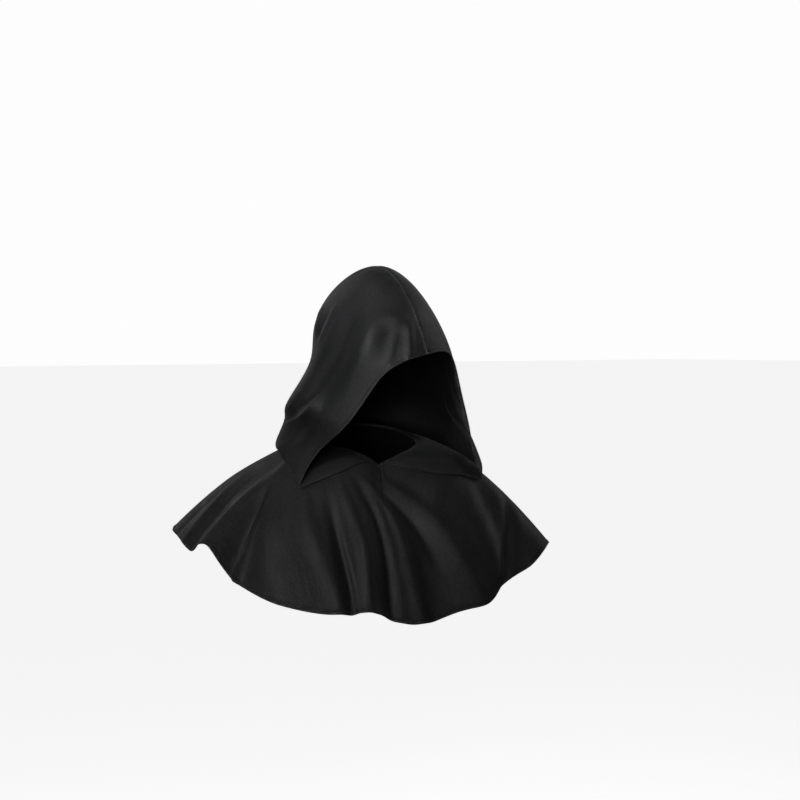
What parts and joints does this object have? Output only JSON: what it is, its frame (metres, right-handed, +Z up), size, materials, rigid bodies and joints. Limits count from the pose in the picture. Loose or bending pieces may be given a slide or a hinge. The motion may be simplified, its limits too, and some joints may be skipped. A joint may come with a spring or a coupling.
{
  "type": "monk hood",
  "caption": "Deep pointed cloth hood with an open front, sewn to a round shoulder cape and held in its worn drape.",
  "frame": {"origin": "the inside of the crown, on the point that the top of a head carries", "axes": "+Z up, the cape's front towards -Y, the wearer's left towards +X; the hood is turned 25 degrees towards +X from the cape's front"},
  "size_m": [0.5689, 0.3986, 0.5136],
  "materials": {
    "hood_satin": "black polyester satin, soft sheen, fine weave",
    "capelet_satin": "black polyester satin, soft sheen, fine weave"
  },
  "bodies": {
    "root": {"capelet": "capelet_satin", "hood_right_panel": "hood_satin", "hood_left_panel": "hood_satin"}
  },
  "joints": []
}
